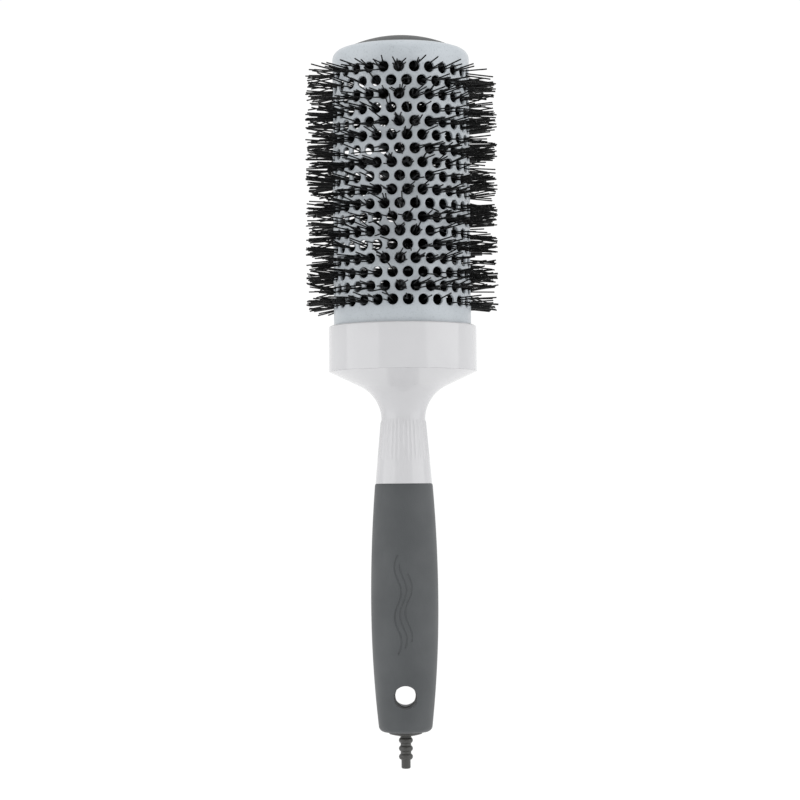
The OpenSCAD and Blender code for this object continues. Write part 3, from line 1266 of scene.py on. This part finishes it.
@dataclass
class SectioningPick:
    """The pick that pulls out of the handle's end: ribbed knob, domed flange, blade and needle."""

    flange_r: float = 5.4
    flange_z: float = -11.75
    flange_h: float = 1.5
    flange_edge: float = 0.6
    stem_r: float = 1.725
    ring_r: float = 2.3
    ring_z: float = -14.5
    ring_pitch: float = 2.65
    ring_half_h: float = 0.95
    tip_r: float = 1.5
    tip_z: float = -23.7
    tip_round: float = 0.5
    rings: int = 3
    edge: float = 0.15
    segments: int = 48
    blade_round: float = 0.2

    def build_knob(self) -> bpy.types.Object:
        """Turns the knob from its flange down over the rings to the blunt tip.

        Returns:
            The knob.
        """
        ball_h = self.flange_h - self.flange_edge
        ball = (self.flange_r**2 + ball_h**2) / (2 * ball_h)
        centre = (0.0, self.flange_z - self.flange_h + ball)
        start = math.degrees(math.acos((self.flange_r - self.edge) / ball))
        stop = math.degrees(math.acos((self.stem_r + 0.1) / ball))
        outline = [
            (0.0, self.flange_z), (self.flange_r - self.edge, self.flange_z),
            (self.flange_r, self.flange_z - self.edge),
            (self.flange_r, self.flange_z - self.flange_edge + 0.1)]
        outline += bow(centre, ball, -start, -stop, 10)
        rise = self.ring_r - self.stem_r
        bead = (self.ring_half_h**2 + rise**2) / (2 * rise)
        turn = math.degrees(math.asin(self.ring_half_h / bead))
        for number in range(self.rings):
            middle = self.ring_z - number * self.ring_pitch
            outline += bow((self.ring_r - bead, middle), bead, turn, -turn, 12)
        step_z = self.ring_z - (self.rings - 1) * self.ring_pitch - self.ring_half_h
        outline += [(self.tip_r + 0.08, step_z - 0.05), (self.tip_r, step_z - 0.2)]
        outline += bow((self.tip_r - self.tip_round, self.tip_z + self.tip_round),
                       self.tip_round, 0, -90, 5)
        outline += [(0.0, self.tip_z)]
        knob = Bench.turn("pick_knob_ribbed", outline, self.segments)
        Bench.smooth(knob, 40)
        return knob

    def build_blade(self) -> bpy.types.Object:
        """Copies the CAD blade, merges its loose triangles and rounds its edges.

        Returns:
            The blade with its needle.
        """
        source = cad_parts["pick_blade"]
        blade = bpy.data.objects.new("pick_blade_rounded", source.data.copy())
        bpy.context.scene.collection.objects.link(blade)
        Bench.close_up(blade, 0.001)
        Bench.apply(
            blade, "BEVEL", width=self.blade_round * MM, segments=2, limit_method="ANGLE",
            angle_limit=math.radians(50), use_clamp_overlap=True)
        Bench.smooth(blade, 40)
        return blade

    def make(self, acetal: bpy.types.Material) -> None:
        """Builds the knob and the blade and dresses them."""
        dress(self.build_knob(), acetal, Slot.PICK, Body.PICK, "pick_knob")
        dress(self.build_blade(), acetal, Slot.PICK, Body.PICK, "pick_blade")


@dataclass(frozen=True)
class Softbox:
    """One rectangular lamp: its place and its width and height in mm, and its power."""

    name: str
    place: tuple[float, float, float]
    size: tuple[float, float]
    watts: float


@dataclass
class Studio:
    """A pale floor, soft light from all round and the camera square on to the brush."""

    distance: float = 750.0
    aim_z: float = 96.5
    aim_x: float = -1.04
    elevation_deg: float = -2.29
    roll_deg: float = 0.45
    lens: float = 102.9
    floor_z: float = -150.0
    floor_size: float = 8000.0
    daylight: float = 1.03
    softboxes: tuple[Softbox, ...] = (
        Softbox("left_softbox", (-720, -320, 200), (900, 900), 2.6),
        Softbox("right_softbox", (720, -320, 200), (900, 900), 2.8),
        Softbox("top_softbox", (0, -120, 820), (900, 700), 1.2))

    def build(self) -> None:
        """Sets up the floor, the lights, the world and the camera."""
        self.floor()
        for softbox in self.softboxes:
            self.lamp(softbox)
        world = bpy.data.worlds.new("studio")
        world.use_nodes = True
        world.node_tree.nodes["Background"].inputs["Color"].default_value = (1, 1, 1, 1)
        world.node_tree.nodes["Background"].inputs["Strength"].default_value = self.daylight
        bpy.context.scene.world = world
        bpy.context.scene.view_settings.view_transform = "Standard"
        self.camera()

    def floor(self) -> None:
        """Lays the wide floor of white paper under the brush."""
        Bench.clear()
        bpy.ops.mesh.primitive_plane_add(
            size=self.floor_size * MM, location=(0, 0, self.floor_z * MM))
        floor = Bench.named("studio_floor")
        white = bpy.data.materials.new("matt_studio_paper")
        white.use_nodes = True
        tree = white.node_tree
        shader = tree.nodes["Principled BSDF"]
        shader.inputs["Roughness"].default_value = 0.9
        place = add_node(tree, "ShaderNodeTexCoord").outputs["Object"]
        fibres = add_node(tree, "ShaderNodeTexNoise", {"Vector": place}, {"Scale": 400.0, "Detail": 3.0})
        shade = add_node(
            tree, "ShaderNodeMix", {"Factor": fibres.outputs["Fac"]},
            {"A": linear("#FDFDFD"), "B": linear("#FFFFFF")}, data_type="RGBA")
        tree.links.new(shade.outputs["Result"], shader.inputs["Base Color"])
        floor.data.materials.append(white)

    def lamp(self, softbox: Softbox) -> None:
        """Adds one lamp that faces the middle of the brush.

        Args:
            softbox: What the lamp is like.
        """
        light = bpy.data.lights.new(softbox.name, "AREA")
        light.shape = "RECTANGLE"
        light.size, light.size_y = softbox.size[0] * MM, softbox.size[1] * MM
        light.energy = softbox.watts
        lamp = bpy.data.objects.new(softbox.name, light)
        bpy.context.scene.collection.objects.link(lamp)
        lamp.location = Vector(softbox.place) * MM
        aim = Vector((0, 0, self.aim_z * MM)) - lamp.location
        lamp.rotation_euler = aim.to_track_quat("-Z", "Y").to_euler()

    def camera(self) -> None:
        """Places the camera at the viewing angle, with its small roll."""
        lens = bpy.data.cameras.new("camera")
        lens.lens = self.lens
        lens.sensor_width = 36.0
        lens.clip_start = 0.01
        camera = bpy.data.objects.new("camera", lens)
        bpy.context.scene.collection.objects.link(camera)
        tilt = math.radians(self.elevation_deg)
        aim = Vector((self.aim_x, 0, self.aim_z)) * MM
        camera.location = aim + Vector((0, -math.cos(tilt), math.sin(tilt))) * self.distance * MM
        look = (aim - camera.location).to_track_quat("-Z", "Y")
        roll = Matrix.Rotation(-math.radians(self.roll_deg), 4, "Z")
        camera.rotation_euler = (look.to_matrix().to_4x4() @ roll).to_euler()
        bpy.context.scene.camera = camera


def main() -> None:
    """Makes every piece of the brush in order and sets up the studio."""
    logging.basicConfig(level=logging.INFO, format="%(message)s")
    Bench.clear()
    ceramic, gloss, rubber, plug_pp, acetal, hub_nylon, nylon, steel = (
        finish.build() for finish in (
            CERAMIC_SPRAY, GLOSS_ABS, SOFT_RUBBER, PLUG_PP, PICK_ACETAL, HUB_NYLON,
            FILAMENT_NYLON, STEM_STEEL))
    barrel = BarrelShell()
    barrel.make(ceramic)
    EndPlug().make(plug_pp)
    WireStem().make(steel)
    BristleField(barrel).make(nylon)
    CollarRing().make(gloss)
    NeckFlare().make(gloss)
    SoftGrip().make(rubber)
    SectioningPick().make(acetal)
    for node, finish in (("top_ferrule", steel), ("base_ferrule", steel),
                         ("base_hub", hub_nylon), ("handle_core", gloss)):
        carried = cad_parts[node]
        carried.data.materials.clear()
        carried.data.materials.append(finish)
    Studio().build()


if __name__ == "__main__":
    main()
